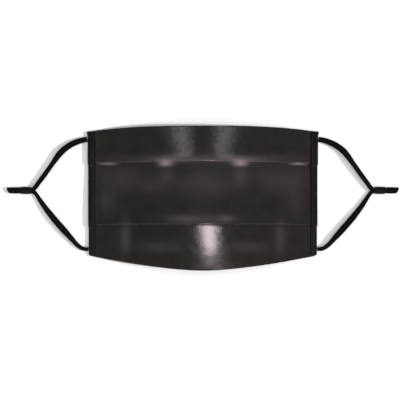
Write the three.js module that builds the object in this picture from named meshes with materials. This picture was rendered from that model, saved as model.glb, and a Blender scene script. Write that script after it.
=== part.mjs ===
// Pleated satin face mask with adjustable ear loops, lying flat with its outer face up.
// Millimetres. +X runs along the mask, +Y towards the nose edge, +Z up from the surface.
// The origin is on that surface, under the middle of the mask.
import * as THREE from "three";

// Cloth
const CLOTH = 1.0;
const GAP = 0.3;
const PITCH = CLOTH + GAP;
const FOLD_RADIUS = PITCH / 2;
const FOLD_ARC_STEPS = 4;

// Plan of the panel: each line across it bows from its side value to its middle value.
const HALF_WIDTH = 90;
const LINES = {
  topEdge: { side: 51.5, middle: 55.9, fullness: 3.3 },
  upperFold: { side: 26.9, middle: 28.4, fullness: 2 },
  lowerFold: { side: -21.2, middle: -20.3, fullness: 2 },
  bottomEdge: { side: -44.3, middle: -55.9, fullness: 1.6 },
};

// How far each pleat tucks up under the panel above it. Both open a little in the middle.
const UPPER_UNDERLAP = { side: 12, middle: 10.3, fullness: 2 };
const LOWER_UNDERLAP = { side: 12, middle: 5.4, fullness: 2 };
const PLEAT_EASE = 1.5;

// The hollow for the face: the panel arches up between the hems.
const CROWN_HEIGHT = 21;
const CROWN_Y = 12;
const BOTTOM_EDGE_RISE = 12.5;
const PANEL_STEPS_ACROSS = 26;

// Side hems: cloth folded into a channel round the ends of the pleats.
const HEM_WIDTH = 6;
const HEM_INNER = HALF_WIDTH - HEM_WIDTH;
const PANEL_END = 87.6;
const CHANNEL_FLOOR = CLOTH;
const LOWEST_LAYER_Z = CHANNEL_FLOOR + GAP + CLOTH / 2;
// level counts the cloth layers under the visible one. outer is the outside edge's distance from the middle.
const HEM_ROWS = [
  { y: 52.3, level: 0, outer: 90.9 },
  { y: 48.5, level: 0.7, outer: 90.2 },
  { y: 40.4, level: 2, outer: 90.2 },
  { y: 26.5, level: 2, outer: 90.2 },
  { y: 25.3, level: 0.2, outer: 89.8 },
  { y: -7.7, level: 2, outer: 89.8 },
  { y: -21.6, level: 2, outer: 89.8 },
  { y: -22.8, level: 0, outer: 89.4 },
  { y: -43.2, level: 0, outer: 89.4 },
  { y: -44.9, level: 0, outer: 89.0 },
];

// Ear loops: a flat, springy elastic that spans freely from the top corner to the lock, turns back on
// itself at the tip, and returns to the bottom corner.
const ELASTIC_WIDTH = 4.0;
const ELASTIC_THICKNESS = 1.2;
const ELASTIC_CHAMFER = 0.35;
const ELASTIC_STEPS = 80;
const EAR_LOOP_ROUTE = [
  [90.7, 46.1, 1.9],
  [93.5, 45.6, 2.2],
  [97.0, 44.6, 2.6],
  [103.6, 41.7, 3.3],
  [110.6, 36.3, 3.8],
  [117.6, 27.1, 4],
  [124.6, 17.3, 3.8],
  [128.6, 12.0, 3.5],
  [131.2, 8.4, 3.3],
  [133.6, 6.4, 3.2],
  [136.0, 6.1, 3.2],
  [143.2, 6.1, 3.2],
  [147.0, 6.1, 3.5],
  [150.3, 6.1, 3.75],
  [152.2, 6.1, 3.2],
  [152.8, 6.1, 2.25],
  [152.2, 6.1, 1.3],
  [150.3, 6.1, 0.75],
  [147.0, 6.1, 1.05],
  [143.2, 6.1, 1.7],
  [136.0, 6.1, 1.7],
  [133.6, 5.8, 1.7],
  [131.2, 3.9, 1.8],
  [128.6, 0.2, 2.1],
  [124.6, -5.7, 2.7],
  [117.6, -14.8, 3.4],
  [110.6, -22.9, 3.7],
  [103.6, -30.7, 3.5],
  [98.2, -36.6, 2.9],
  [94.0, -39.4, 2.3],
  [90.0, -39.9, 1.8],
];

// Cord locks: a soft barrel with an oval slot for two runs of elastic, one above the other.
const LOCK_START_X = 134.4;
const LOCK_Y = 6.1;
const LOCK_CENTRE_Z = 2.45;
const LOCK_SIDES = 20;
const LOCK_ROUNDNESS = 2.6;
const SLOT_ROUNDNESS = 6;
const SLOT_HALF_ACROSS = ELASTIC_WIDTH / 2 + GAP;
const SLOT_HALF_HEIGHT = ELASTIC_THICKNESS + 1.5 * GAP;
const LOCK_ROWS = [
  { along: 0, halfAcross: 2.65, halfHeight: 2.1 },
  { along: 1.2, halfAcross: 2.82, halfHeight: 2.36 },
  { along: 4.3, halfAcross: 2.9, halfHeight: 2.45 },
  { along: 7.4, halfAcross: 2.82, halfHeight: 2.36 },
  { along: 8.6, halfAcross: 2.65, halfHeight: 2.1 },
];

// Finishes
const SATIN = { color: 0x2a2727, roughness: 0.42, metalness: 0 };
const HEM_CLOTH = { color: 0x1c1c1b, roughness: 0.6, metalness: 0 };
const ELASTIC = { color: 0x111111, roughness: 0.8, metalness: 0 };
const SILICONE = { color: 0x161616, roughness: 0.5, metalness: 0 };

// The value of a bowed line at a distance x from the middle.
function bowed(line, x) {
  const reach = Math.min(Math.abs(x) / HALF_WIDTH, 1);
  return line.side + (line.middle - line.side) * (1 - reach ** line.fullness);
}

// Height of the arch over the hems: a smooth hump across, highest near the nose bridge.
function archHeight(x, y) {
  const fall = (CROWN_HEIGHT - BOTTOM_EDGE_RISE) / (CROWN_Y - LINES.bottomEdge.middle) ** 2;
  const crest = CROWN_HEIGHT - fall * (y - CROWN_Y) ** 2;
  const reach = Math.min(Math.abs(x) / HEM_INNER, 1);
  return crest * Math.cos((Math.PI / 2) * reach) ** 2;
}

// Adds a straight run of cloth to a section, without repeating the point that it starts from.
function addRun(points, toY, toLevel, steps) {
  const from = points[points.length - 1];
  for (let step = 1; step <= steps; step += 1) {
    const share = step / steps;
    points.push({
      y: THREE.MathUtils.lerp(from.y, toY, share),
      level: THREE.MathUtils.lerp(from.level, toLevel, share),
    });
  }
}

// Adds the half turn of a fold. side is -1 for a fold edge at the bottom, 1 for one at the top.
function addTurn(points, side) {
  const from = points[points.length - 1];
  for (let step = 1; step <= FOLD_ARC_STEPS; step += 1) {
    const angle = (Math.PI * step) / FOLD_ARC_STEPS;
    points.push({
      y: from.y + side * FOLD_RADIUS * Math.sin(angle),
      level: from.level - (1 - Math.cos(angle)) / 2,
    });
  }
}

// One knife pleat: down to its edge, back up under it, and down again.
function addPleat(points, foldY, underlap, runSteps) {
  const edgeTurnY = foldY + CLOTH / 2 + FOLD_RADIUS;
  const hiddenTurnY = foldY + underlap;
  addRun(points, hiddenTurnY + PLEAT_EASE, 2, runSteps);
  addRun(points, edgeTurnY, 2, 3);
  addTurn(points, -1);
  addRun(points, hiddenTurnY, 1, 2);
  addTurn(points, 1);
  addRun(points, edgeTurnY, 0, 2);
}

// The middle of the cloth in the plane at x, from the top edge to the bottom edge.
function clothSection(x) {
  const points = [{ y: bowed(LINES.topEdge, x), level: 0 }];
  addPleat(points, bowed(LINES.upperFold, x), bowed(UPPER_UNDERLAP, x), 4);
  addPleat(points, bowed(LINES.lowerFold, x), bowed(LOWER_UNDERLAP, x), 6);
  addRun(points, bowed(LINES.bottomEdge, x), 0, 6);
  return points.map((point) => {
    const z = LOWEST_LAYER_Z + point.level * PITCH + archHeight(x, point.y);
    return new THREE.Vector3(x, point.y, z);
  });
}

// Gives a line of points in one plane the cloth's thickness, as one closed loop.
function thicken(points) {
  const upper = [];
  const lower = [];
  points.forEach((point, index) => {
    const before = points[Math.max(index - 1, 0)];
    const after = points[Math.min(index + 1, points.length - 1)];
    const along = after.clone().sub(before).normalize();
    const outward = new THREE.Vector3(0, along.z, -along.y).multiplyScalar(CLOTH / 2);
    upper.push(point.clone().add(outward));
    lower.push(point.clone().sub(outward));
  });
  return upper.concat(lower.reverse());
}

function signedVolume(positions, triangles) {
  let volume = 0;
  for (let corner = 0; corner < triangles.length; corner += 3) {
    const [a, b, c] = [0, 1, 2].map((offset) => positions[triangles[corner + offset]]);
    volume += a.dot(b.clone().cross(c)) / 6;
  }
  return volume;
}

// Joins loops of equally many points into a closed body. Capped at both ends, or joined end to end.
function loft(loops, joinedEnds) {
  const size = loops[0].length;
  const positions = loops.flat();
  const triangles = [];
  const spans = joinedEnds ? loops.length : loops.length - 1;
  for (let span = 0; span < spans; span += 1) {
    const near = span * size;
    const far = ((span + 1) % loops.length) * size;
    for (let index = 0; index < size; index += 1) {
      const next = (index + 1) % size;
      triangles.push(near + index, near + next, far + next);
      triangles.push(near + index, far + next, far + index);
    }
  }
  if (!joinedEnds) {
    addCap(triangles, loops[0], 0, false);
    addCap(triangles, loops[loops.length - 1], (loops.length - 1) * size, true);
  }
  if (signedVolume(positions, triangles) < 0) {
    triangles.reverse();
  }
  const geometry = new THREE.BufferGeometry().setFromPoints(positions);
  geometry.setIndex(triangles);
  geometry.computeVertexNormals();
  return geometry;
}

// Closes a flat end loop. Its faces turn the same way as the loop, or against it.
function addCap(triangles, loop, offset, withLoop) {
  const normal = new THREE.Vector3();
  loop.forEach((point, index) => {
    normal.add(point.clone().cross(loop[(index + 1) % loop.length]));
  });
  const across = loop[1].clone().sub(loop[0]).normalize();
  const upward = normal.normalize().cross(across);
  const flat = loop.map((point) => new THREE.Vector2(point.dot(across), point.dot(upward)));
  THREE.ShapeUtils.triangulateShape(flat, []).forEach(([a, b, c]) => {
    const turnsWithLoop = (b - a) * (c - b) * (a - c) < 0;
    const corners = turnsWithLoop === withLoop ? [a, b, c] : [a, c, b];
    triangles.push(...corners.map((corner) => corner + offset));
  });
}

function pleatedPanelGeometry() {
  const inner = HEM_INNER - 1;
  const stations = [-PANEL_END];
  for (let step = 0; step <= PANEL_STEPS_ACROSS; step += 1) {
    stations.push(THREE.MathUtils.lerp(-inner, inner, step / PANEL_STEPS_ACROSS));
  }
  stations.push(PANEL_END);
  return loft(stations.map((x) => thicken(clothSection(x))), false);
}

// side is 1 on the right and -1 on the left.
function sideHemGeometry(side) {
  const loops = HEM_ROWS.map((row) => {
    const ceiling = LOWEST_LAYER_Z + row.level * PITCH + CLOTH / 2 + GAP;
    const top = ceiling + CLOTH;
    const wall = row.outer - CLOTH;
    const channel = [
      [row.outer, 0],
      [row.outer, top],
      [HEM_INNER, top],
      [HEM_INNER, ceiling],
      [wall, ceiling],
      [wall, CHANNEL_FLOOR],
      [HEM_INNER, CHANNEL_FLOOR],
      [HEM_INNER, 0],
    ];
    return channel.map(([x, z]) => new THREE.Vector3(side * x, row.y, z));
  });
  return loft(loops, false);
}

function earLoopCurve(side) {
  const points = EAR_LOOP_ROUTE.map(([x, y, z]) => new THREE.Vector3(side * x, y, z));
  return new THREE.CatmullRomCurve3(points, false, "centripetal");
}

// The elastic's section: a flat strip with its corners taken off. Each row is [across, upward].
function elasticSection() {
  const halfWidth = ELASTIC_WIDTH / 2;
  const halfThickness = ELASTIC_THICKNESS / 2;
  const innerWidth = halfWidth - ELASTIC_CHAMFER;
  const innerThickness = halfThickness - ELASTIC_CHAMFER;
  return [
    [halfWidth, innerThickness],
    [innerWidth, halfThickness],
    [-innerWidth, halfThickness],
    [-halfWidth, innerThickness],
    [-halfWidth, -innerThickness],
    [-innerWidth, -halfThickness],
    [innerWidth, -halfThickness],
    [halfWidth, -innerThickness],
  ];
}

// The elastic's width stays level all the way, so it turns only in plan, and over itself at the tip.
function earElasticGeometry(side) {
  const curve = earLoopCurve(side);
  const towardsTip = new THREE.Vector3(side, 0, 0);
  const up = new THREE.Vector3(0, 0, 1);
  const loops = [];
  for (let step = 0; step <= ELASTIC_STEPS; step += 1) {
    const share = step / ELASTIC_STEPS;
    const centre = curve.getPointAt(share);
    const along = curve.getTangentAt(share);
    const plan = new THREE.Vector3(along.x, along.y, 0);
    if (plan.dot(towardsTip) < 0) {
      plan.negate();
    }
    const heading = Math.abs(centre.x) > LOCK_START_X ? towardsTip : plan.normalize();
    const level = up.clone().cross(heading);
    const normal = along.clone().cross(level);
    loops.push(elasticSection().map(([across, upward]) =>
      centre.clone().addScaledVector(level, across).addScaledVector(normal, upward)));
  }
  return loft(loops, false);
}

// A point on a rounded oblong, at an angle round it.
function oblong(halfAcross, halfHeight, roundness, angle) {
  const cosine = Math.cos(angle);
  const sine = Math.sin(angle);
  return {
    across: Math.sign(cosine) * halfAcross * Math.abs(cosine) ** (2 / roundness),
    height: Math.sign(sine) * halfHeight * Math.abs(sine) ** (2 / roundness),
  };
}

// Each loop runs along the outside of the barrel and back through its slot, at one angle.
function cordLockGeometry(side) {
  const length = LOCK_ROWS[LOCK_ROWS.length - 1].along;
  const loops = [];
  for (let index = 0; index < LOCK_SIDES; index += 1) {
    const angle = (2 * Math.PI * (index + 0.5)) / LOCK_SIDES;
    const place = (along, at) =>
      new THREE.Vector3(side * (LOCK_START_X + along), LOCK_Y + at.across, LOCK_CENTRE_Z + at.height);
    const outside = LOCK_ROWS.map((row) =>
      place(row.along, oblong(row.halfAcross, row.halfHeight, LOCK_ROUNDNESS, angle)));
    const slot = oblong(SLOT_HALF_ACROSS, SLOT_HALF_HEIGHT, SLOT_ROUNDNESS, angle);
    loops.push([...outside, place(length, slot), place(0, slot)]);
  }
  return loft(loops, true);
}

function piece(name, geometry, finish) {
  const mesh = new THREE.Mesh(geometry, new THREE.MeshStandardMaterial(finish));
  mesh.name = name;
  return mesh;
}

const mask = new THREE.Group();
mask.add(piece("pleated_panel", pleatedPanelGeometry(), SATIN));
for (const [name, side] of [["left", -1], ["right", 1]]) {
  mask.add(piece(`side_hem_${name}`, sideHemGeometry(side), HEM_CLOTH));
  mask.add(piece(`ear_elastic_${name}`, earElasticGeometry(side), ELASTIC));
  mask.add(piece(`cord_lock_${name}`, cordLockGeometry(side), SILICONE));
}

export default mask;
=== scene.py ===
import math

import bpy
import numpy as np
from bpy.props import FloatProperty, FloatVectorProperty, PointerProperty
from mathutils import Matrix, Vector, noise


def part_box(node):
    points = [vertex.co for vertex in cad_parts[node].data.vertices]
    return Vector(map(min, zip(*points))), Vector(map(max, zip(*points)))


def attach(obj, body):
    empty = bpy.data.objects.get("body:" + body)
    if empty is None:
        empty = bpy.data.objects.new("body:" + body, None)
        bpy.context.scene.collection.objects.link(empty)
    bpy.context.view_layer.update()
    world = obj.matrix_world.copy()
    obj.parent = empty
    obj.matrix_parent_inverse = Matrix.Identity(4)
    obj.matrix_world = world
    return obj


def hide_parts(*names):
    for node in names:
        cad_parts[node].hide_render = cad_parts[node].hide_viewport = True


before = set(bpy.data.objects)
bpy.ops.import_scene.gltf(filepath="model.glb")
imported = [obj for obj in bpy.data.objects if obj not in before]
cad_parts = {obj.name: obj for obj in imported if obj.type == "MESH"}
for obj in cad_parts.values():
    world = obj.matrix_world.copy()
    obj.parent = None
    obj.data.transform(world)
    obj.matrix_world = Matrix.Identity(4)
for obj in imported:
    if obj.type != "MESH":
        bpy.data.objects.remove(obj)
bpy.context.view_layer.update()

bl_info = {
    "name": "Pleated Satin Face Mask",
    "version": (1, 0, 0),
    "blender": (4, 5, 0),
    "location": "View3D > Sidebar > Face Mask",
    "description": "Builds the cloth, stitching, elastic and cord locks of a pleated satin face mask",
    "category": "Add Mesh",
}

# Shapes are worked out in millimetres and turned to metres where a mesh is made.
MM = 0.001


def box_mm(node):
    """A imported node's lowest and highest corners, in millimetres."""
    low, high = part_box(node)
    return np.array(low) / MM, np.array(high) / MM


PANEL_HIGH = box_mm("pleated_panel")[1]
HEM_LOW, HEM_HIGH = box_mm("side_hem_right")
LOCK_LOW, LOCK_HIGH = box_mm("cord_lock_right")

# The plan of the pleated panel: each line across it bows from its side value to its middle value.
HALF_WIDTH = 90.0
LINES = {
    "top_edge": {"side": 51.5, "middle": 55.9, "fullness": 3.3},
    "upper_fold": {"side": 26.9, "middle": 28.4, "fullness": 2.0},
    "lower_fold": {"side": -21.2, "middle": -20.3, "fullness": 2.0},
    "bottom_edge": {"side": -44.3, "middle": -55.9, "fullness": 1.6},
    "upper_underlap": {"side": 12.0, "middle": 10.3, "fullness": 2.0},
    "lower_underlap": {"side": 12.0, "middle": 5.4, "fullness": 2.0},
}
# Both plies together, from one layer of a pleat to the next, and where the lowest layer's middle lies.
CLOTH = 1.0
LAYER_PITCH = 1.3
LOWEST_LAYER_Z = 1.8
# The height of the arch down the middle of the mask: (y, height). Its corners are rounded over this softness.
CREST = [
    (-57.0, 13.75), (-44.0, 16.75), (-38.0, 17.95), (-30.0, 19.4), (-22.0, 20.8), (-20.2, 20.9),
    (12.0, 21.0), (28.0, 20.6), (33.0, 20.0), (42.0, 18.3), (57.0, 15.6),
]
CREST_SOFTNESS = 0.5
# Across the mask the arch falls to nothing at its end, and more fullness makes it narrower.
ARCH_FULLNESS = 1.5
ARCH_END = 87.0
ARCH_END_EASE = 6.0
# How far before its hidden fold a pleat has risen over the layers under it.
PLEAT_EASE = 1.5
HEM_INNER = float(HEM_LOW[0])

# Small swells and hollows pressed into the cloth: (x, y, spread across, spread down, height).
RELIEF = [
    (62.0, -32.0, 5.0, 14.0, 0.35), (-64.0, -32.0, 5.0, 14.0, 0.35),
    (33.0, 27.0, 7.0, 6.0, 0.8), (-34.0, 27.0, 7.0, 6.0, 1.0),
    (6.0, -38.0, 9.0, 6.0, 0.10), (2.0, -24.0, 12.0, 5.0, -0.10), (6.0, -50.0, 12.0, 10.0, 0.16),
]
# Slight unevenness of cloth that was only pressed by hand: (size of the lumps, height).
UNEVENNESS = [(6.0, 0.035), (2.2, 0.008)]

# Painted highlights: soft spots where the satin's colour is made lighter to stand in for reflections, sheen
# and glints along the folds: (x, y, spread across, spread down, strength).
PAINTED_HIGHLIGHT_SPOTS = [
    (-60.5, -30.0, 4.2, 13.0, 1.05), (60.5, -30.0, 4.2, 13.0, 0.75),
    (0.0, 12.0, 22.0, 11.0, 0.6), (-62.0, 15.0, 22.0, 10.0, 0.6), (62.0, 15.0, 22.0, 10.0, 0.5),
    (-76.0, -2.0, 8.0, 10.0, 0.45), (72.0, -2.0, 8.0, 10.0, 0.3),
    (-6.0, -16.0, 24.0, 3.5, 0.5), (16.0, -17.0, 7.0, 3.0, 0.4), (-10.0, -17.0, 6.0, 2.5, 0.5),
    (-34.0, -38.0, 17.0, 4.0, 0.6), (36.0, -38.0, 16.0, 4.0, 0.5),
    (-29.0, 17.0, 6.0, 8.0, 0.6), (29.0, 17.0, 6.0, 8.0, 0.6), (-40.0, 8.0, 8.0, 5.0, 0.4),
    (0.0, 31.0, 66.0, 3.0, 0.8), (-29.0, 27.2, 5.0, 2.1, 6.5), (29.0, 27.2, 5.0, 2.1, 6.5),
    (-24.0, 30.0, 17.0, 2.2, 1.6), (27.0, 30.0, 16.0, 2.2, 1.6),
    (-18.0, -15.5, 10.0, 3.0, 0.7), (19.0, -15.5, 6.0, 2.5, 1.0),
    (-74.0, 26.8, 6.0, 0.7, 6.0), (75.0, 26.8, 6.0, 0.7, 6.0),
]

# How far back from its edge each pleat starts to roll over. reach is the edge's own roundness, softer lists
# the places that roll over more or less, (x, spread, more), and lead is the last strip before the roll.
FOLDS = {
    "upper_fold": {
        "reach": 0.9,
        "lead": 1.2,
        "softer": [
            (29.0, 7.0, 2.4), (-29.0, 7.0, 2.4), (0.0, 36.0, 1.8),
            (7.0, 12.0, -1.9), (-74.0, 7.0, 1.2), (75.0, 7.0, 1.2),
        ],
    },
    "lower_fold": {"reach": 0.3, "lead": 0.12, "softer": [(7.0, 12.0, -0.22)]},
}

# The side hems: how many layers lie under the visible one, and how far out the edge is.
HEM_ROWS = [
    {"y": 52.3, "level": 0.0, "outer": 90.9},
    {"y": 50.6, "level": 0.3, "outer": 90.7},
    {"y": 48.5, "level": 0.7, "outer": 90.2},
    {"y": 40.4, "level": 2.0, "outer": 90.2},
    {"y": 26.5, "level": 2.0, "outer": 90.2},
    {"y": 25.3, "level": 0.2, "outer": 89.8},
    {"y": -7.7, "level": 2.0, "outer": 89.8},
    {"y": -21.6, "level": 2.0, "outer": 89.8},
    {"y": -22.8, "level": 0.0, "outer": 89.4},
    {"y": -43.2, "level": 0.0, "outer": 89.4},
    {"y": -44.9, "level": 0.0, "outer": 88.7},
]
# The sewn row: how far in from the outer edge it runs, and how far from the ends of the hem it stops.
STITCH_INSET = 4.4
STITCH_END_INSET = 1.5
STITCH_LENGTH = 1.5
STITCH_SPACING = 2.1
THREAD_WIDTH = 0.34
# The stitches on the underside lie this far up in the cloth, clear of the surface that the mask rests on.
UNDER_STITCH_HEIGHT = 0.42

# The right ear loop's route, from the top corner of the mask through the lock, round the tip and back.
EAR_LOOP_ROUTE_M = [
    (0.0905, 0.0461, 0.00190),
    (0.0935, 0.0456, 0.00220),
    (0.0970, 0.0446, 0.00260),
    (0.1036, 0.0417, 0.00330),
    (0.1106, 0.0363, 0.00380),
    (0.1176, 0.0271, 0.00400),
    (0.1246, 0.0173, 0.00380),
    (0.1286, 0.0120, 0.00350),
    (0.1312, 0.0084, 0.00330),
    (0.1336, 0.0064, 0.00320),
    (0.1360, 0.0061, 0.00320),
    (0.1432, 0.0061, 0.00320),
    (0.1470, 0.0061, 0.00350),
    (0.1503, 0.0061, 0.00375),
    (0.1522, 0.0061, 0.00320),
    (0.1528, 0.0061, 0.00225),
    (0.1522, 0.0061, 0.00130),
    (0.1503, 0.0061, 0.00075),
    (0.1470, 0.0061, 0.00105),
    (0.1432, 0.0061, 0.00170),
    (0.1360, 0.0061, 0.00170),
    (0.1336, 0.0058, 0.00170),
    (0.1312, 0.0039, 0.00180),
    (0.1286, 0.0002, 0.00210),
    (0.1246, -0.0057, 0.00270),
    (0.1176, -0.0148, 0.00340),
    (0.1106, -0.0229, 0.00370),
    (0.1036, -0.0307, 0.00350),
    (0.0982, -0.0366, 0.00290),
    (0.0940, -0.0394, 0.00230),
    (0.0897, -0.0400, 0.00180),
]


def linear(hex_colour):
    """An sRGB hex colour as linear RGBA."""
    channels = [int(hex_colour[i:i + 2], 16) / 255 for i in (1, 3, 5)]
    return tuple(c / 12.92 if c <= 0.04045 else ((c + 0.055) / 1.055) ** 2.4 for c in channels) + (1.0,)


def colour_property(name, description, hex_colour):
    """A colour that can be changed in the sidebar."""
    return FloatVectorProperty(
        name=name, description=description, default=linear(hex_colour), subtype="COLOR", size=4, min=0, max=1)


# ---------------------------------------------------------------- settings


class MaskClothSettings(bpy.types.PropertyGroup):
    satin_colour: colour_property("Satin", "Colour of the dyed satin", "#0d0b0b")
    # The lighter satin colour is used for random mottle and for painted highlights and sheen.
    satin_mottle_and_sheen_colour: colour_property(
        "Satin, rubbed", "Colour where the floats catch more light", "#363131")
    hem_colour: colour_property("Hem", "Colour of the pressed and stitched hems", "#0a0a0a")
    thread_colour: colour_property("Thread", "Colour of the sewing thread", "#201f1f")


class MaskElasticSettings(bpy.types.PropertyGroup):
    colour: colour_property("Elastic", "Colour of the knitted elastic", "#030303")
    # The lighter colour on the crests of the cords is a painted highlight.
    rib_highlight_colour: colour_property(
        "Elastic, raised", "Colour of its raised cords, which catch more light", "#1a1a1a")
    width: FloatProperty(
        name="Width", description="Width of the elastic where it lies flat",
        default=4.9 * MM, min=3 * MM, max=8 * MM, subtype="DISTANCE", unit="LENGTH")
    thickness: FloatProperty(
        name="Thickness", description="Thickness of the elastic where it lies flat",
        default=1.25 * MM, min=0.8 * MM, max=2 * MM, subtype="DISTANCE", unit="LENGTH")


class MaskLockSettings(bpy.types.PropertyGroup):
    colour: colour_property("Silicone", "Colour of the moulded locks", "#060606")


class MaskStageSettings(bpy.types.PropertyGroup):
    floor_colour: colour_property("Floor", "Colour of the plain floor", "#fdfdfd")
    world_strength: FloatProperty(
        name="Fill light", description="Strength of the even light from all sides",
        default=0.30, min=0, max=3)


# ---------------------------------------------------------------- helpers


def add_node(tree, kind, settings=None, links=None):
    """Adds a shader node. A setting is a socket's value if it has that name or number, or else a property."""
    node = tree.nodes.new(kind)
    for key, value in (settings or {}).items():
        if isinstance(key, int) or key in node.inputs:
            node.inputs[key].default_value = value
        else:
            setattr(node, key, value)
    for key, source in (links or {}).items():
        tree.links.new(source, node.inputs[key])
    return node


def new_material(name):
    """An empty material and its node tree."""
    material = bpy.data.materials.new(name)
    material.use_nodes = True
    material.node_tree.nodes.clear()
    return material, material.node_tree


def finish_material(tree, shader):
    add_node(tree, "ShaderNodeOutputMaterial", links={"Surface": shader.outputs["BSDF"]})


def make_piece(name, points_mm, faces, material, uv=None):
    """A smooth mesh piece that rides on the mask. uv gives a pair for each vertex, in millimetres."""
    mesh = bpy.data.meshes.new(name)
    mesh.from_pydata((np.asarray(points_mm) * MM).tolist(), [], faces)
    mesh.validate()
    mesh.polygons.foreach_set("use_smooth", [True] * len(mesh.polygons))
    if uv is not None:
        layer = mesh.uv_layers.new(name="cloth_mm")
        corners = np.zeros(len(mesh.loops), dtype=np.int32)
        mesh.loops.foreach_get("vertex_index", corners)
        layer.data.foreach_set("uv", np.asarray(uv, dtype=np.float32)[corners].ravel())
    mesh.materials.append(material)
    piece = bpy.data.objects.new(name, mesh)
    bpy.context.scene.collection.objects.link(piece)
    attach(piece, "root")
    return piece


def grid_faces(rows, columns, joined_rows=False, joined_columns=False, flipped=False):
    """Quads over a grid of points that are numbered row by row."""
    faces = []
    for row in range(rows if joined_rows else rows - 1):
        for column in range(columns if joined_columns else columns - 1):
            next_row, next_column = (row + 1) % rows, (column + 1) % columns
            face = (
                row * columns + column,
                next_row * columns + column,
                next_row * columns + next_column,
                row * columns + next_column,
            )
            faces.append(face[::-1] if flipped else face)
    return faces


def smooth_step(share):
    """A rise from 0 to 1 that starts and ends gently."""
    return share * share * (3 - 2 * share)


def straight(share):
    """A rise from 0 to 1 at one slope."""
    return share


def noise_at(x, y, scale, seed):
    """Smooth noise between about -1 and 1, at points in millimetres. scale is the size of its lumps."""
    return np.array([noise.noise(Vector((a / scale, b / scale, seed))) for a, b in zip(x, y)])


# ---------------------------------------------------------------- materials


def woven_satin_polyester(cloth):
    """Satin weave: long floats side by side give a soft, streaky sheen over a dark, dyed ground."""
    material, tree = new_material("woven_satin_polyester")
    place = add_node(tree, "ShaderNodeUVMap", {"uv_map": "cloth_mm"})
    # Floats are about 0.1 mm wide and 0.8 mm long, too fine to show, so they are drawn six times as coarse.
    float_width, float_length = 0.6, 4.8
    stretch = add_node(
        tree, "ShaderNodeMapping", {"Scale": (1 / float_length, 1 / float_width, 1)},
        {"Vector": place.outputs["UV"]})
    floats = add_node(
        tree, "ShaderNodeTexNoise", {"Scale": 1.0, "Detail": 3.0, "Roughness": 0.6},
        {"Vector": stretch.outputs["Vector"]})
    # Dye and pressing leave broad cloudy patches, about 13 mm across.
    mottle = add_node(
        tree, "ShaderNodeTexNoise", {"Scale": 1 / 13.0, "Detail": 3.0}, {"Vector": place.outputs["UV"]})
    # Painted highlights: a value stored on each point from the spots table pushes the colour towards the
    # lighter satin colour where reflections, sheen and glints are painted on; the mottle adds random tone on
    # top.
    painted_sheen = add_node(tree, "ShaderNodeAttribute", {"attribute_name": "painted_sheen"})
    lightness = add_node(
        tree, "ShaderNodeMath", {"operation": "MULTIPLY_ADD", 1: 0.42},
        {0: mottle.outputs["Fac"], 2: painted_sheen.outputs["Fac"]})
    mixed = add_node(
        tree, "ShaderNodeMix",
        {"data_type": "RGBA", "clamp_factor": False, 6: cloth.satin_colour, 7: cloth.satin_mottle_and_sheen_colour},
        {0: lightness.outputs["Value"]})
    rough = add_node(
        tree, "ShaderNodeMapRange", {"From Min": 0.3, "From Max": 0.7, "To Min": 0.12, "To Max": 0.22},
        {"Value": floats.outputs["Fac"]})
    # Threads that aren't quite even pucker the cloth every 1.3 mm or so, which breaks up a bright reflection.
    crinkle = add_node(
        tree, "ShaderNodeTexNoise", {"Scale": 1 / 1.3, "Detail": 2.0, "Roughness": 0.6},
        {"Vector": place.outputs["UV"]})
    coarse = add_node(
        tree, "ShaderNodeBump", {"Strength": 1.0, "Distance": 0.05 * MM}, {"Height": crinkle.outputs["Fac"]})
    bump = add_node(
        tree, "ShaderNodeBump", {"Strength": 0.25, "Distance": 0.10 * MM},
        {"Height": floats.outputs["Fac"], "Normal": coarse.outputs["Normal"]})
    shader = add_node(
        tree, "ShaderNodeBsdfPrincipled",
        {"IOR": 1.42, "Specular Tint": linear("#fdf4f4"), "Sheen Weight": 0.03, "Sheen Roughness": 0.3,
         "Sheen Tint": linear("#e8dcdc")},
        {"Base Color": mixed.outputs[2], "Roughness": rough.outputs["Result"],
         "Normal": bump.outputs["Normal"]})
    finish_material(tree, shader)
    return material


def pressed_satin_hem(cloth):
    """The same satin, folded, pressed and sewn down: flatter and darker, with a duller gloss."""
    material, tree = new_material("pressed_satin_hem")
    place = add_node(tree, "ShaderNodeUVMap", {"uv_map": "cloth_mm"})
    grain = add_node(
        tree, "ShaderNodeTexNoise", {"Scale": 1 / 0.7, "Detail": 3.0}, {"Vector": place.outputs["UV"]})
    rough = add_node(
        tree, "ShaderNodeMapRange", {"To Min": 0.42, "To Max": 0.6}, {"Value": grain.outputs["Fac"]})
    bump = add_node(
        tree, "ShaderNodeBump", {"Strength": 0.4, "Distance": 0.12 * MM}, {"Height": grain.outputs["Fac"]})
    shader = add_node(
        tree, "ShaderNodeBsdfPrincipled",
        {"Base Color": cloth.hem_colour, "IOR": 1.3, "Specular IOR Level": 0.3, "Sheen Weight": 0.01,
         "Sheen Roughness": 0.4},
        {"Roughness": rough.outputs["Result"], "Normal": bump.outputs["Normal"]})
    finish_material(tree, shader)
    return material


def spun_polyester_thread(cloth):
    """Twisted sewing thread: short bright glints on a dull dark strand."""
    material, tree = new_material("spun_polyester_thread")
    shader = add_node(
        tree, "ShaderNodeBsdfPrincipled", {"Base Color": cloth.thread_colour, "Roughness": 0.5, "IOR": 1.5})
    finish_material(tree, shader)
    return material


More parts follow.
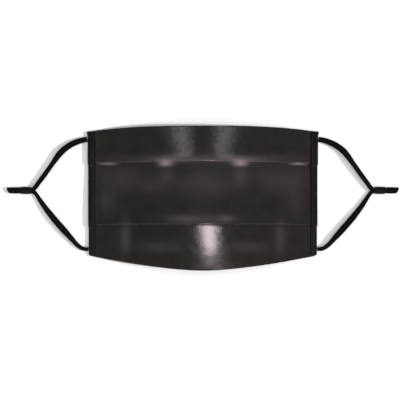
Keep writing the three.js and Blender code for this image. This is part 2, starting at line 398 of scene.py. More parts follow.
def knitted_elastic(elastic):
    """Knitted nylon and rubber: dull black with fine cross ribs of loops along raised cords, whose crests are
    painted lighter as a highlight.
    """
    material, tree = new_material("knitted_elastic")
    place = add_node(tree, "ShaderNodeUVMap", {"uv_map": "cloth_mm"})
    # Loops are about 0.5 mm apart, drawn at 0.8 mm so that they still show. A wave of scale 1 repeats 3.2
    # times in a millimetre.
    loop_spacing, repeats = 0.8, 3.2
    loops = add_node(
        tree, "ShaderNodeTexWave",
        {"wave_type": "BANDS", "bands_direction": "X", "Scale": 1 / loop_spacing / repeats,
         "Distortion": 1.2, "Detail": 2.0},
        {"Vector": place.outputs["UV"]})
    bump = add_node(
        tree, "ShaderNodeBump", {"Strength": 0.5, "Distance": 0.2 * MM}, {"Height": loops.outputs["Fac"]})
    # The crests of the ribs get the lighter colour: a painted highlight.
    raised = add_node(tree, "ShaderNodeAttribute", {"attribute_name": "raised"})
    mixed = add_node(
        tree, "ShaderNodeMix", {"data_type": "RGBA", 6: elastic.colour, 7: elastic.rib_highlight_colour},
        {0: raised.outputs["Fac"]})
    shader = add_node(
        tree, "ShaderNodeBsdfPrincipled",
        {"Roughness": 0.9, "IOR": 1.3, "Specular IOR Level": 0.2},
        {"Base Color": mixed.outputs[2], "Normal": bump.outputs["Normal"]})
    finish_material(tree, shader)
    return material


def moulded_silicone(lock):
    """Moulded silicone: a soft, slightly greasy black with a wide dim highlight."""
    material, tree = new_material("moulded_silicone")
    place = add_node(tree, "ShaderNodeTexCoord")
    # The mould's fine blasted grain, about 0.4 mm.
    skin = add_node(
        tree, "ShaderNodeTexNoise", {"Scale": 1 / (0.4 * MM), "Detail": 2.0},
        {"Vector": place.outputs["Object"]})
    bump = add_node(
        tree, "ShaderNodeBump", {"Strength": 0.2, "Distance": 0.05 * MM}, {"Height": skin.outputs["Fac"]})
    shader = add_node(
        tree, "ShaderNodeBsdfPrincipled",
        {"Base Color": lock.colour, "Roughness": 0.55, "IOR": 1.41, "Specular IOR Level": 0.15},
        {"Normal": bump.outputs["Normal"]})
    finish_material(tree, shader)
    return material


def painted_floor(stage):
    """A plain matt painted board, pale and even."""
    material, tree = new_material("painted_floor")
    shader = add_node(tree, "ShaderNodeBsdfPrincipled", {"Base Color": stage.floor_colour, "Roughness": 0.9})
    finish_material(tree, shader)
    return material


# ---------------------------------------------------------------- cords


def smooth_route(points, step):
    """A centripetal Catmull-Rom curve through the points, as points about a step apart."""
    points = np.asarray(points, dtype=float)
    ends = np.vstack([2 * points[0] - points[1], points, 2 * points[-1] - points[-2]])
    made = []
    for a, b, c, d in zip(ends[:-3], ends[1:-2], ends[2:-1], ends[3:]):
        chords = [np.linalg.norm(q - p) ** 0.5 for p, q in ((a, b), (b, c), (c, d))]
        ka, kb, kc, kd = np.cumsum([0.0] + chords)
        count = max(2, int(round(np.linalg.norm(c - b) / step)))
        t = np.linspace(kb, kc, count, endpoint=False)[:, None]
        ab = (kb - t) / (kb - ka) * a + (t - ka) / (kb - ka) * b
        bc = (kc - t) / (kc - kb) * b + (t - kb) / (kc - kb) * c
        cd = (kd - t) / (kd - kc) * c + (t - kc) / (kd - kc) * d
        abc = (kc - t) / (kc - ka) * ab + (t - ka) / (kc - ka) * bc
        bcd = (kd - t) / (kd - kb) * bc + (t - kb) / (kd - kb) * cd
        made.append((kc - t) / (kc - kb) * abc + (t - kb) / (kc - kb) * bcd)
    return np.vstack(made + [points[-1:]])


def turned_frames(line):
    """The direction, the flat side's direction and its normal at each point, carried along without twist."""
    along = np.gradient(line, axis=0)
    along /= np.linalg.norm(along, axis=1)[:, None]
    side = np.cross((0, 0, 1), along[0])
    sides = []
    for direction in along:
        side = side - direction * (side @ direction)
        side = side / np.linalg.norm(side)
        sides.append(side)
    sides = np.array(sides)
    return along, sides, np.cross(along, sides)


# How the soft elastic rolls along its route: at is a share of its length.
ELASTIC_SHAPE = [
    {"at": 0.00, "width": 0.82, "fatness": 1.1, "roll": 8},
    {"at": 0.06, "width": 0.95, "fatness": 1.1, "roll": 10},
    {"at": 0.14, "width": 1.02, "fatness": 1.0, "roll": 4},
    {"at": 0.21, "width": 0.80, "fatness": 1.3, "roll": -18},
    {"at": 0.28, "width": 0.80, "fatness": 1.2, "roll": -14},
    {"at": 0.345, "width": 0.72, "fatness": 1.2, "roll": -4},
    {"at": 0.375, "width": 0.64, "fatness": 1.2, "roll": 0},
    {"at": 0.405, "width": 0.86, "fatness": 1.0, "roll": 0},
    {"at": 0.435, "width": 0.74, "fatness": 1.0, "roll": 0},
    {"at": 0.465, "width": 1.00, "fatness": 1.0, "roll": 0},
    {"at": 0.488, "width": 1.00, "fatness": 1.0, "roll": 0},
    {"at": 0.500, "width": 0.70, "fatness": 1.0, "roll": 0},
    {"at": 0.512, "width": 1.00, "fatness": 1.0, "roll": 0},
    {"at": 0.535, "width": 1.00, "fatness": 1.0, "roll": 0},
    {"at": 0.565, "width": 0.74, "fatness": 1.0, "roll": 0},
    {"at": 0.595, "width": 0.86, "fatness": 1.0, "roll": 0},
    {"at": 0.630, "width": 0.60, "fatness": 1.3, "roll": 0},
    {"at": 0.70, "width": 0.84, "fatness": 1.1, "roll": 12},
    {"at": 0.78, "width": 1.02, "fatness": 1.0, "roll": 6},
    {"at": 0.85, "width": 1.02, "fatness": 1.0, "roll": 2},
    {"at": 0.93, "width": 0.74, "fatness": 1.3, "roll": -18},
    {"at": 1.00, "width": 0.60, "fatness": 1.4, "roll": -10},
]
# The folded tip is cut askew: how far its two corners stand apart, and where along X that starts and ends.
TIP_SLANT = 2.0
TIP_ROUNDNESS = 1.0
TIP_SLANT_FROM, TIP_SLANT_TO = 145.0, 152.0
TIP_MIDDLE = 0.15
# The section of the elastic: its ribs and how high they stand, and how square its sides and faces are.
RIBS = 3
RIB_HEIGHT = 0.16
SIDE_SQUARENESS = 0.8
FACE_SQUARENESS = 0.55
SECTION_POINTS = 44
ROUTE_STEP = 0.6
# Runs that climb no steeper than this keep clear of the surface by this much.
LEVEL_RUN = 0.6
FLOOR_CLEARANCE = 0.05


def build_elastic(settings, side_name, side, material):
    """One ear loop's elastic. Also gives its middle line and its length, in metres."""
    route = np.array(EAR_LOOP_ROUTE_M) / MM
    route[:, 0] *= side
    line = smooth_route(route, ROUTE_STEP)
    lengths = np.concatenate([[0.0], np.cumsum(np.linalg.norm(np.diff(line, axis=0), axis=1))])
    share = lengths / lengths[-1]
    at = [row["at"] for row in ELASTIC_SHAPE]
    width = settings.width / MM / 2 * np.interp(share, at, [row["width"] for row in ELASTIC_SHAPE])
    thick = settings.thickness / MM / 2 * np.interp(share, at, [row["fatness"] for row in ELASTIC_SHAPE])
    roll = side * np.radians(np.interp(share, at, [row["roll"] for row in ELASTIC_SHAPE]))
    along, flat, up = turned_frames(line)
    half_height = np.abs(width * np.sin(roll)) + np.abs(thick * np.cos(roll))
    is_level = np.abs(along[:, 2]) < LEVEL_RUN
    line[:, 2] = np.where(is_level, np.maximum(line[:, 2], half_height + FLOOR_CLEARANCE), line[:, 2])
    angles = np.linspace(0, 2 * np.pi, SECTION_POINTS, endpoint=False)
    across = np.sign(np.cos(angles)) * np.abs(np.cos(angles)) ** SIDE_SQUARENESS
    upward = np.sign(np.sin(angles)) * np.abs(np.sin(angles)) ** FACE_SQUARENESS
    ridge = np.cos(RIBS * np.pi * across)
    upward = upward * (1 + RIB_HEIGHT * ridge)
    flat_turned = flat * np.cos(roll)[:, None] + up * np.sin(roll)[:, None]
    up_turned = up * np.cos(roll)[:, None] - flat * np.sin(roll)[:, None]
    points = (
        line[:, None, :]
        + across[None, :, None] * (width[:, None] * flat_turned)[:, None, :]
        + upward[None, :, None] * (thick[:, None] * up_turned)[:, None, :]
    )
    askew = smooth_step(
        np.clip((np.abs(points[..., 0]) - TIP_SLANT_FROM) / (TIP_SLANT_TO - TIP_SLANT_FROM), 0, 1))
    from_middle = (points[..., 1] - line[:, None, 1]) / (settings.width / MM)
    points[..., 0] += side * askew * (
        TIP_SLANT * (from_middle - TIP_MIDDLE) - TIP_ROUNDNESS * np.abs(2 * from_middle) ** 4)
    count = len(line)
    uv = np.stack(
        [np.repeat(lengths, SECTION_POINTS), np.tile(across * settings.width / MM / 2, count)], axis=1)
    faces = grid_faces(count, SECTION_POINTS, joined_columns=True, flipped=True)
    last = (count - 1) * SECTION_POINTS
    faces.append(tuple(range(SECTION_POINTS - 1, -1, -1)))
    faces.append(tuple(range(last, last + SECTION_POINTS)))
    piece = make_piece(
        f"elastic_band_{side_name}", points.reshape(-1, 3), faces, material, uv)
    # A value on the crests of the ribs, where the material paints the elastic lighter as a highlight.
    raised = piece.data.attributes.new("raised", "FLOAT", "POINT")
    raised.data.foreach_set("value", np.tile(np.clip(ridge, 0, 1) ** 6, count).astype(np.float32))
    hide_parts(f"ear_elastic_{side_name}")
    return piece, line * MM, lengths[-1] * MM


# ---------------------------------------------------------------- cord locks


def rounded_oblong(half_across, half_height, roundness, angles):
    """The places across and up of an oblong's outline. A roundness of 2 is an ellipse, more is squarer."""
    cosine, sine = np.cos(angles), np.sin(angles)
    return (
        np.sign(cosine) * half_across * np.abs(cosine) ** (2 / roundness),
        np.sign(sine) * half_height * np.abs(sine) ** (2 / roundness),
    )


# The outside of a lock, then its slot from the far end back: along is a share of its length.
LOCK_PROFILE = [
    {"along": 0.00, "half_across": 2.35, "half_height": 1.85, "roundness": 3.5},
    {"along": 0.02, "half_across": 2.60, "half_height": 2.10, "roundness": 3.0},
    {"along": 0.08, "half_across": 2.76, "half_height": 2.28, "roundness": 2.7},
    {"along": 0.25, "half_across": 2.86, "half_height": 2.40, "roundness": 2.6},
    {"along": 0.50, "half_across": 2.90, "half_height": 2.44, "roundness": 2.6},
    {"along": 0.75, "half_across": 2.86, "half_height": 2.40, "roundness": 2.6},
    {"along": 0.92, "half_across": 2.76, "half_height": 2.28, "roundness": 2.7},
    {"along": 0.98, "half_across": 2.60, "half_height": 2.10, "roundness": 3.0},
    {"along": 1.00, "half_across": 2.35, "half_height": 1.85, "roundness": 3.5},
    {"along": 0.97, "half_across": 2.20, "half_height": 1.70, "roundness": 4.0},
    {"along": 0.50, "half_across": 2.15, "half_height": 1.66, "roundness": 4.0},
    {"along": 0.03, "half_across": 2.20, "half_height": 1.70, "roundness": 4.0},
]
LOCK_SIDES = 48


def build_lock(side_name, side, material):
    """One soft lock: a barrel turned in at both ends to the slot that the elastic passes through."""
    angles = np.linspace(0, 2 * np.pi, LOCK_SIDES, endpoint=False)
    centre = (LOCK_LOW + LOCK_HIGH) / 2
    length = LOCK_HIGH[0] - LOCK_LOW[0]
    points = []
    for row in LOCK_PROFILE:
        across, height = rounded_oblong(row["half_across"], row["half_height"], row["roundness"], angles)
        x = np.full(LOCK_SIDES, LOCK_LOW[0] + row["along"] * length)
        points.append(np.stack([side * x, centre[1] + across, centre[2] + height], axis=1))
    faces = grid_faces(len(LOCK_PROFILE), LOCK_SIDES, joined_rows=True, joined_columns=True, flipped=side > 0)
    piece = make_piece(f"silicone_lock_{side_name}", np.vstack(points), faces, material)
    subdivision = piece.modifiers.new("rounding", "SUBSURF")
    subdivision.levels = subdivision.render_levels = 1
    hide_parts(f"cord_lock_{side_name}")
    return piece


# ---------------------------------------------------------------- pleated panel


def bowed(name, x):
    """The value of a bowed line at distances x from the middle."""
    line = LINES[name]
    reach = np.minimum(np.abs(x) / HALF_WIDTH, 1)
    return line["side"] + (line["middle"] - line["side"]) * (1 - reach ** line["fullness"])


def crest_height(y):
    """The arch's height down the middle of the mask, with the table's corners smoothed away."""
    at, heights = zip(*CREST)
    offsets = np.linspace(-2, 2, 17)
    weights = np.exp(-offsets ** 2)
    smoothed = sum(w * np.interp(y + CREST_SOFTNESS * d, at, heights) for w, d in zip(weights, offsets))
    return smoothed / weights.sum()


def arch_height(x, y):
    """How high the hollow for the face lifts the panel."""
    reach = np.minimum(np.abs(x) / ARCH_END, 1)
    return crest_height(y) * np.cos(np.pi / 2 * reach) ** ARCH_FULLNESS


def spots(x, y, rows):
    """The sum of soft round spots, each (x, y, spread across, spread down, strength)."""
    total = np.zeros_like(x)
    for spot_x, spot_y, across, down, strength in rows:
        total += strength * np.exp(-((x - spot_x) / across) ** 2 - ((y - spot_y) / down) ** 2)
    return total


def hem_fade(x, distance=7.0):
    """1 on the open panel, falling to 0 at the side hems."""
    return smooth_step(np.clip((HEM_INNER - np.abs(x)) / distance, 0, 1))


LAYER_SHIFT = 40.0


def down_flat(y, level):
    """A place down the cloth that differs between the layers of a pleat, so that they don't match."""
    return y + LAYER_SHIFT * level


def top_panel_ease(x, y):
    """Spreads the rise over the upper pleat's hidden layers along the whole of the top panel."""
    top, fold = bowed("top_edge", x), bowed("upper_fold", x)
    hidden = fold + bowed("upper_underlap", x) + PLEAT_EASE
    even = np.clip((top - y) / (top - fold), 0, 1)
    built = np.clip((top - y) / (top - hidden), 0, 1)
    return 2 * LAYER_PITCH * (even - built) * hem_fade(x, ARCH_END_EASE)


# The side hems press the pleats' layers together, to this share of their height, from this far inside them.
HEM_PRESS = 0.68
HEM_PRESS_REACH = 6.0


# How many steps follow each run of cloth and each turn.
PANEL_STEPS = {"top": 20, "middle": 38, "bottom": 40}
OVERLAP_STEPS = 9
EDGE_TURN_STEPS = 12
HIDDEN_STEPS = 6


class ClothSection:
    """Follows the cloth from the top edge to the bottom edge, at every place across it at once."""

    def __init__(self, x):
        self.x = x
        self.y = [bowed("top_edge", x)]
        self.level = [np.zeros_like(x)]
        self.out_y = [np.zeros_like(x)]
        self.out_z = [np.ones_like(x)]

    def add(self, y, level, out_y, out_z):
        """The next line across the cloth, and which way its outer face looks."""
        self.y.append(y)
        self.level.append(level)
        self.out_y.append(np.full_like(self.x, out_y))
        self.out_z.append(np.full_like(self.x, out_z))

    def run(self, to_y, to_level, steps, facing, rise=smooth_step):
        """A run of cloth to a line across it. facing is 1 with the outer face up, -1 with it down."""
        from_y, from_level = self.y[-1], self.level[-1]
        for step in range(1, steps + 1):
            share = step / steps
            self.add(
                from_y + (to_y - from_y) * share,
                from_level + (to_level - from_level) * rise(share), 0.0, facing)

    def turn(self, side, reach, facing, steps):
        """The half turn of a fold, whose edge is reach away on that side."""
        from_y, from_level = self.y[-1], self.level[-1]
        for step in range(1, steps + 1):
            angle = math.pi * step / steps
            self.add(
                from_y + side * reach * math.sin(angle),
                from_level - (1 - math.cos(angle)) / 2,
                facing * side * math.sin(angle), facing * math.cos(angle))

    def pleat(self, name, underlap, free_steps, rise=smooth_step):
        """Down to the fold's edge, back up under it, and down again."""
        row = FOLDS[name]
        fold = bowed(name, self.x)
        reach = row["reach"] + sum(
            more * np.exp(-((self.x - at) / spread) ** 2) for at, spread, more in row["softer"])
        edge_turn = fold + CLOTH / 2 + reach
        hidden_turn = fold + bowed(underlap, self.x)
        self.run(hidden_turn + PLEAT_EASE, 2.0, free_steps, 1, rise)
        self.run(edge_turn + row["lead"], 2.0, OVERLAP_STEPS, 1)
        self.run(edge_turn, 2.0, 1, 1)
        self.turn(-1, reach, 1, EDGE_TURN_STEPS)
        self.run(hidden_turn, 1.0, HIDDEN_STEPS, -1)
        self.turn(1, LAYER_PITCH / 2, -1, HIDDEN_STEPS)
        self.run(edge_turn, 0.0, HIDDEN_STEPS, 1)


PANEL_COLUMNS = 217
PANEL_END = float(PANEL_HIGH[0])
EDGE_ROLL_STEPS = 4
# The inner face takes its weave from a little further along, so that the two plies differ.
INNER_PLY_SHIFT = 0.4


def build_panel(material):
    """The whole panel as one closed skin round both plies."""
    x = np.linspace(-PANEL_END, PANEL_END, PANEL_COLUMNS)
    section = ClothSection(x)
    section.pleat("upper_fold", "upper_underlap", PANEL_STEPS["top"], rise=straight)
    section.pleat("lower_fold", "lower_underlap", PANEL_STEPS["middle"])
    section.run(bowed("bottom_edge", x), 0.0, PANEL_STEPS["bottom"], 1)
    y, level, out_y, out_z = (
        np.array(part) for part in (section.y, section.level, section.out_y, section.out_z))
    wide = np.broadcast_to(x, y.shape)
    lift = arch_height(wide, y) + top_panel_ease(wide, y) + spots(wide, y, RELIEF) * hem_fade(wide)
    for seed, (size, height) in enumerate(UNEVENNESS):
        lift += height * noise_at(wide.ravel(), down_flat(y, level).ravel(), size, seed).reshape(y.shape)
    pressed = 1 - hem_fade(wide, HEM_PRESS_REACH)
    squeeze = 1 - (1 - HEM_PRESS) * pressed
    z = LOWEST_LAYER_Z + level * LAYER_PITCH * squeeze + lift
    middle = np.stack([wide, y, z], axis=-1)
    thickness = CLOTH * squeeze
    outward = np.stack([np.zeros_like(y), out_y, out_z], axis=-1) * thickness[..., None] / 2
    steps = np.linalg.norm(np.diff(middle, axis=0), axis=2)
    down_cloth = np.vstack([np.zeros(PANEL_COLUMNS), np.cumsum(steps, axis=0)])

    # One closed tube of rows: the outer face down, round the bottom edge, the inner face up, round the top.
    rows, row_uv = [], []
    for index in range(len(middle)):
        rows.append(middle[index] + outward[index])
        row_uv.append(down_cloth[index])
    for index, direction in ((len(middle) - 1, -1), (0, 1)):
        if index == 0:
            for back in range(len(middle) - 1, -1, -1):
                rows.append(middle[back] - outward[back])
                row_uv.append(down_cloth[back] + INNER_PLY_SHIFT)
        for step in range(1, EDGE_ROLL_STEPS):
            angle = math.pi * step / EDGE_ROLL_STEPS
            start = outward[index] if index else -outward[index]
            bulge = np.array([0, direction * CLOTH / 2 * math.sin(angle), 0])
            rows.append(middle[index] + start * math.cos(angle) + bulge)
            row_uv.append(down_cloth[index])
    points = np.vstack(rows)
    uv = np.stack([np.tile(x, len(rows)), np.concatenate(row_uv)], axis=1)
    faces = grid_faces(len(rows), PANEL_COLUMNS, joined_rows=True)
    ends = [row * PANEL_COLUMNS for row in range(len(rows))]
    faces.append(tuple(reversed(ends)))
    faces.append(tuple(end + PANEL_COLUMNS - 1 for end in ends))
    piece = make_piece("satin_panel", points, faces, material, uv)
    # Painted highlights: the spots table becomes a value on each point, which the material uses to paint
    # reflections, sheen and glints as lighter colour.
    painted_sheen = piece.data.attributes.new("painted_sheen", "FLOAT", "POINT")
    painted_sheen.data.foreach_set("value", spots(points[:, 0], points[:, 1], PAINTED_HIGHLIGHT_SPOTS).astype(np.float32))
    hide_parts("pleated_panel")
    return piece


# ---------------------------------------------------------------- side hems


def hem_profile(y):
    """How many layers lie under each place along a hem, and how far out its edge is."""
    rows = sorted(HEM_ROWS, key=lambda row: row["y"])
    at = [row["y"] for row in rows]
    level = np.interp(y, at, [row["level"] for row in rows])
    outer = np.interp(y, at, [row["outer"] for row in rows])
    return level, outer


HEM_GAP = 0.2
HEM_COVER = 0.8
HEM_STEP = 0.6
# The outer edge is rounded: its upper half over this share of the height, its lower half by a fixed amount.
HEM_ROUND_STEPS = 9
HEM_SHOULDER = 0.5
HEM_SHOULDER_FLAT = 0.8
HEM_ROUND = 1.1
# The rest of the channel's outline, as pairs of x and z. Over the inner edge: from that edge and the top.
HEM_LIP_OVER = [(0.1, -0.75), (0.4, -0.5), (1.1, -0.2), (2.2, 0.0)]
# Under the inner edge and into the channel: from the inner edge and the surface that the hem lies on.
HEM_LIP_UNDER = [(2.4, 0.0), (0.5, 0.0), (0.1, 0.3), (0.2, 0.85), (0.6, CLOTH)]
# Round the channel's closed end, below and above: from the outer edge and the channel's floor or ceiling.
HEM_END_LOW = [(-1.6, 0.0), (-CLOTH, 0.4)]
HEM_END_HIGH = [(-CLOTH, -0.4), (-1.6, 0.0)]
# Back out of the channel: from the inner edge and the channel's ceiling.
HEM_LIP_CEILING = [(0.6, 0.0), (0.15, 0.05)]
HEM_UNDERSIDE_END = 1.8


def hem_heights(level):
    """The channel's ceiling and the hem's top over so many layers of cloth."""
    ceiling = LOWEST_LAYER_Z + (level * LAYER_PITCH + CLOTH / 2) * HEM_PRESS + HEM_GAP
    return ceiling, ceiling + HEM_COVER


def hem_section(level, outer):
    """The channel's loop at one place, going round from the inner edge of the top: pairs of x and z."""
    ceiling, top = hem_heights(level)
    height = top / 2
    shoulder = HEM_SHOULDER * top
    loop = [(HEM_INNER + x, top + z) for x, z in HEM_LIP_OVER]
    loop.append((outer - shoulder - HEM_SHOULDER_FLAT, top))
    for step in range(HEM_ROUND_STEPS + 1):
        angle = math.pi / 2 - math.pi * step / HEM_ROUND_STEPS
        reach = shoulder if angle > 0 else HEM_ROUND
        loop.append((outer - reach + reach * math.cos(angle), height + height * math.sin(angle)))
    loop.append((outer - HEM_UNDERSIDE_END, 0.0))
    loop += [(HEM_INNER + x, z) for x, z in HEM_LIP_UNDER]
    loop += [(outer + x, CLOTH + z) for x, z in HEM_END_LOW]
    loop += [(outer + x, ceiling + z) for x, z in HEM_END_HIGH]
    loop += [(HEM_INNER + x, ceiling + z) for x, z in HEM_LIP_CEILING]
    return loop


def build_hem(side_name, side, material):
    """One side hem, as a channel round the ends of the pleats."""
    y = np.arange(HEM_LOW[1], HEM_HIGH[1] + 0.01, HEM_STEP)
    y[-1] = HEM_HIGH[1]
    level, outer = hem_profile(y)
    loops = [hem_section(a, b) for a, b in zip(level, outer)]
    size = len(loops[0])
    points = [(side * px, py, pz) for py, loop in zip(y, loops) for px, pz in loop]
    faces = grid_faces(len(y), size, joined_columns=True, flipped=side > 0)
    last = (len(y) - 1) * size
    ends = (tuple(range(size)), tuple(range(last + size - 1, last - 1, -1)))
    faces += [end[::-1] if side > 0 else end for end in ends]
    uv = [(px, py) for px, py, _ in points]
    piece = make_piece(f"hem_strip_{side_name}", points, faces, material, uv)
    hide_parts(f"side_hem_{side_name}")
    return piece


# One stitch, along its length: its thickness and its height, both in thread widths.
STRAND = [
    {"share": 0.00, "thickness": 0.35, "lift": -0.6},
    {"share": 0.15, "thickness": 0.85, "lift": 0.1},
    {"share": 0.50, "thickness": 1.00, "lift": 0.25},
    {"share": 0.85, "thickness": 0.85, "lift": 0.1},
    {"share": 1.00, "thickness": 0.35, "lift": -0.6},
]
STRAND_SIDES = 6


def stitch_mesh(start, end, normal):
    """A short rounded strand that dips into the cloth at both ends."""
    start, end, normal = Vector(start), Vector(end), Vector(normal)
    along = (end - start).normalized()
    side = along.cross(normal).normalized()
    points = []
    for row in STRAND:
        centre = start.lerp(end, row["share"]) + normal * (row["lift"] * THREAD_WIDTH)
        for corner in range(STRAND_SIDES):
            angle = 2 * math.pi * corner / STRAND_SIDES
            offset = side * math.cos(angle) + normal * math.sin(angle)
            points.append(centre + offset * (row["thickness"] * THREAD_WIDTH / 2))
    count = len(points)
    faces = grid_faces(len(STRAND), STRAND_SIDES, joined_columns=True)
    faces.append(tuple(range(STRAND_SIDES)))
    faces.append(tuple(range(count - 1, count - 1 - STRAND_SIDES, -1)))
    return points, faces


def build_stitches(side_name, side, material):
    """The row of stitches down a hem, on its top and on its underside."""
    points, faces = [], []
    for y in np.arange(HEM_LOW[1] + STITCH_END_INSET, HEM_HIGH[1] - STITCH_END_INSET, STITCH_SPACING):
        level, outer = hem_profile(np.array([y, y + STITCH_LENGTH]))
        x = outer - STITCH_INSET
        _, top = hem_heights(level)
        under = np.full(2, UNDER_STITCH_HEIGHT)
        for z, up in ((top, 1), (under, -1)):
            made, quads = stitch_mesh(
                (side * x[0], y, z[0]), (side * x[1], y + STITCH_LENGTH, z[1]), (0, 0, up))
            base = len(points)
            points += [tuple(p) for p in made]
            faces += [tuple(base + corner for corner in quad) for quad in quads]
    return make_piece(f"hem_stitches_{side_name}", points, faces, material)


# ---------------------------------------------------------------- stage

# The camera looks straight down, and its frame covers this width of the floor.
FRAME_WIDTH_M = 0.3136
FRAME_CENTRE_M = (-0.0022, -0.0014)
CAMERA_HEIGHT_M = 1.8
SENSOR_MM = 36.0
# The floor runs far past the frame, a hair below the surface that the mask rests on.
FLOOR_HALF_M = 30.0
FLOOR_DROP_M = 0.0002

# Softboxes show only as reflections. Azimuth is from +X towards +Y, tilt is from straight up, and radiance is
# against a white floor of about 1.
SOFTBOXES = [
    {"name": "front_box", "azimuth": -74.5, "tilt": 19.5, "roll": 0, "distance": 1.2,
     "size": (0.235, 0.30), "radiance": 28.0, "tint": "#fffafb"},
    {"name": "front_strip", "azimuth": -90, "tilt": 56, "roll": 0, "distance": 1.3,
     "size": (2.4, 0.30), "radiance": 6.0, "tint": "#ffecea"},
    {"name": "back_left_box", "azimuth": 115.5, "tilt": 36, "roll": -68, "distance": 1.2,
     "size": (0.06, 0.33), "radiance": 9.0, "tint": "#ffffff"},
    {"name": "back_right_box", "azimuth": 64.5, "tilt": 36, "roll": 68, "distance": 1.2,
     "size": (0.06, 0.33), "radiance": 9.0, "tint": "#ffffff"},
]
# Even light without reflections: a wide one from straight above and a narrow one that casts the shadows.
SUNS = [
    {"name": "overhead_sun", "azimuth": 90, "tilt": 0, "spread": 70, "strength": 1.35},
    {"name": "key_sun", "azimuth": -5, "tilt": 51, "spread": 4, "strength": 2.2},
]


def aim(lamp, azimuth, tilt):
    """Turns a lamp to shine from there towards the middle, and returns the direction it shines from."""
    azimuth, tilt = math.radians(azimuth), math.radians(tilt)
    level = math.sin(tilt)
    direction = Vector((level * math.cos(azimuth), level * math.sin(azimuth), math.cos(tilt)))
    lamp.rotation_euler = direction.to_track_quat("Z", "Y").to_euler()
    return direction


def add_sun(row):
    """A distant light that gives no reflection."""
    data = bpy.data.lights.new(row["name"], "SUN")
    data.energy = row["strength"]
    data.angle = math.radians(row["spread"])
    lamp = bpy.data.objects.new(row["name"], data)
    aim(lamp, row["azimuth"], row["tilt"])
    lamp.visible_glossy = False
    bpy.context.scene.collection.objects.link(lamp)


def add_softbox(row):
    """A glowing panel that shows only as a reflection."""
    data = bpy.data.lights.new(row["name"], "AREA")
    data.shape = "RECTANGLE"
    data.size, data.size_y = row["size"]
    data.energy = row["radiance"] * math.pi * row["size"][0] * row["size"][1]
    data.color = linear(row["tint"])[:3]
    lamp = bpy.data.objects.new(row["name"], data)
    lamp.location = aim(lamp, row["azimuth"], row["tilt"]) * row["distance"]
    lamp.rotation_euler.rotate_axis("Z", math.radians(row["roll"]))
    lamp.visible_camera = False
    lamp.visible_diffuse = False
    bpy.context.scene.collection.objects.link(lamp)


def add_camera():
    """The camera, straight above the mask."""
    data = bpy.data.cameras.new("camera")
    data.sensor_width = SENSOR_MM
    data.lens = SENSOR_MM * CAMERA_HEIGHT_M / FRAME_WIDTH_M
    data.clip_end = 20
    camera = bpy.data.objects.new("camera", data)
    camera.location = (*FRAME_CENTRE_M, CAMERA_HEIGHT_M)
    bpy.context.scene.collection.objects.link(camera)
    bpy.context.scene.camera = camera


def add_floor(stage):
    """A plain pale floor."""
    corners = ((-1, -1), (1, -1), (1, 1), (-1, 1))
    mesh = bpy.data.meshes.new("floor")
    mesh.from_pydata(
        [(FLOOR_HALF_M * x, FLOOR_HALF_M * y, -FLOOR_DROP_M) for x, y in corners], [], [(0, 1, 2, 3)])
    mesh.materials.append(painted_floor(stage))
    floor = bpy.data.objects.new("floor", mesh)
    bpy.context.scene.collection.objects.link(floor)


def add_world(stage):
    """Even white light from all sides."""
    world = bpy.data.worlds.new("studio")
    world.use_nodes = True
    tree = world.node_tree
    tree.nodes.clear()
    sky = add_node(
        tree, "ShaderNodeBackground", {"Color": linear("#ffffff"), "Strength": stage.world_strength})
    add_node(tree, "ShaderNodeOutputWorld", links={"Surface": sky.outputs["Background"]})
    bpy.context.scene.world = world


# ---------------------------------------------------------------- operators

SIDES = (("left", -1), ("right", 1))


class FACEMASK_OT_stage(bpy.types.Operator):
    """Adds the floor, the even light, the softboxes and the camera"""
    bl_idname = "facemask.stage"
    bl_label = "Stage"

    def execute(self, context):
        stage = context.scene.mask_stage
        add_camera()
        add_floor(stage)
        add_world(stage)
        for row in SOFTBOXES:
            add_softbox(row)
        for row in SUNS:
            add_sun(row)
        context.scene.view_settings.view_transform = "Standard"
        return {"FINISHED"}


class FACEMASK_OT_ear_loops(bpy.types.Operator):
    """Adds both elastic ear loops and the silicone lock on each"""
    bl_idname = "facemask.ear_loops"
    bl_label = "Ear Loops and Locks"

    def execute(self, context):
        settings = context.scene.mask_elastic
        knitted, moulded = knitted_elastic(settings), moulded_silicone(context.scene.mask_lock)
        for side_name, side in SIDES:
            band, path, length = build_elastic(settings, side_name, side, knitted)
            lock = build_lock(side_name, side, moulded)
        return {"FINISHED"}


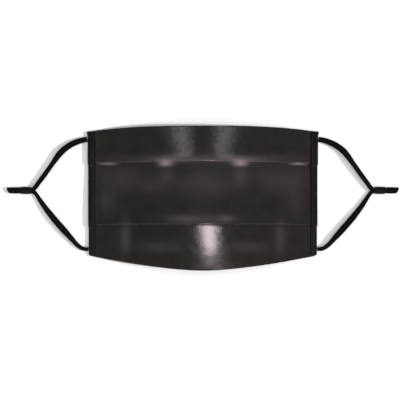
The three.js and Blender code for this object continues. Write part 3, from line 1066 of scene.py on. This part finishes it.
class FACEMASK_OT_panel(bpy.types.Operator):
    """Adds the pleated satin panel"""
    bl_idname = "facemask.panel"
    bl_label = "Pleated Panel"

    def execute(self, context):
        cloth = context.scene.mask_cloth
        panel = build_panel(woven_satin_polyester(cloth))
        return {"FINISHED"}


class FACEMASK_OT_hems(bpy.types.Operator):
    """Adds the side hems and their stitching"""
    bl_idname = "facemask.hems"
    bl_label = "Side Hems"

    def execute(self, context):
        cloth = context.scene.mask_cloth
        pressed, thread = pressed_satin_hem(cloth), spun_polyester_thread(cloth)
        for side_name, side in SIDES:
            build_hem(side_name, side, pressed)
            build_stitches(side_name, side, thread)
        return {"FINISHED"}


class FACEMASK_PT_sidebar(bpy.types.Panel):
    """Lists the operators, each with the settings that it uses"""
    bl_label = "Face Mask"
    bl_idname = "FACEMASK_PT_sidebar"
    bl_space_type = "VIEW_3D"
    bl_region_type = "UI"
    bl_category = "Face Mask"

    def draw(self, context):
        for operator, *settings in SIDEBAR_ROWS:
            self.layout.operator(operator)
            for group in (getattr(context.scene, name) for name in settings):
                for name in group.bl_rna.properties.keys():
                    if name not in ("rna_type", "name"):
                        self.layout.prop(group, name)


SETTINGS = {
    "mask_cloth": MaskClothSettings,
    "mask_elastic": MaskElasticSettings,
    "mask_lock": MaskLockSettings,
    "mask_stage": MaskStageSettings,
}
SIDEBAR_ROWS = (
    ("facemask.stage", "mask_stage"),
    ("facemask.ear_loops", "mask_elastic", "mask_lock"),
    ("facemask.hems",),
    ("facemask.panel", "mask_cloth"),
)
CLASSES = (
    *SETTINGS.values(),
    FACEMASK_OT_stage,
    FACEMASK_OT_ear_loops,
    FACEMASK_OT_hems,
    FACEMASK_OT_panel,
    FACEMASK_PT_sidebar,
)


def register():
    for cls in CLASSES:
        bpy.utils.register_class(cls)
    for name, group in SETTINGS.items():
        setattr(bpy.types.Scene, name, PointerProperty(type=group))


def unregister():
    for name in SETTINGS:
        delattr(bpy.types.Scene, name)
    for cls in reversed(CLASSES):
        bpy.utils.unregister_class(cls)


def main():
    """Makes the stage, then each piece."""
    register()
    bpy.ops.facemask.stage()
    bpy.ops.facemask.ear_loops()
    bpy.ops.facemask.hems()
    bpy.ops.facemask.panel()


if __name__ == "__main__":
    main()
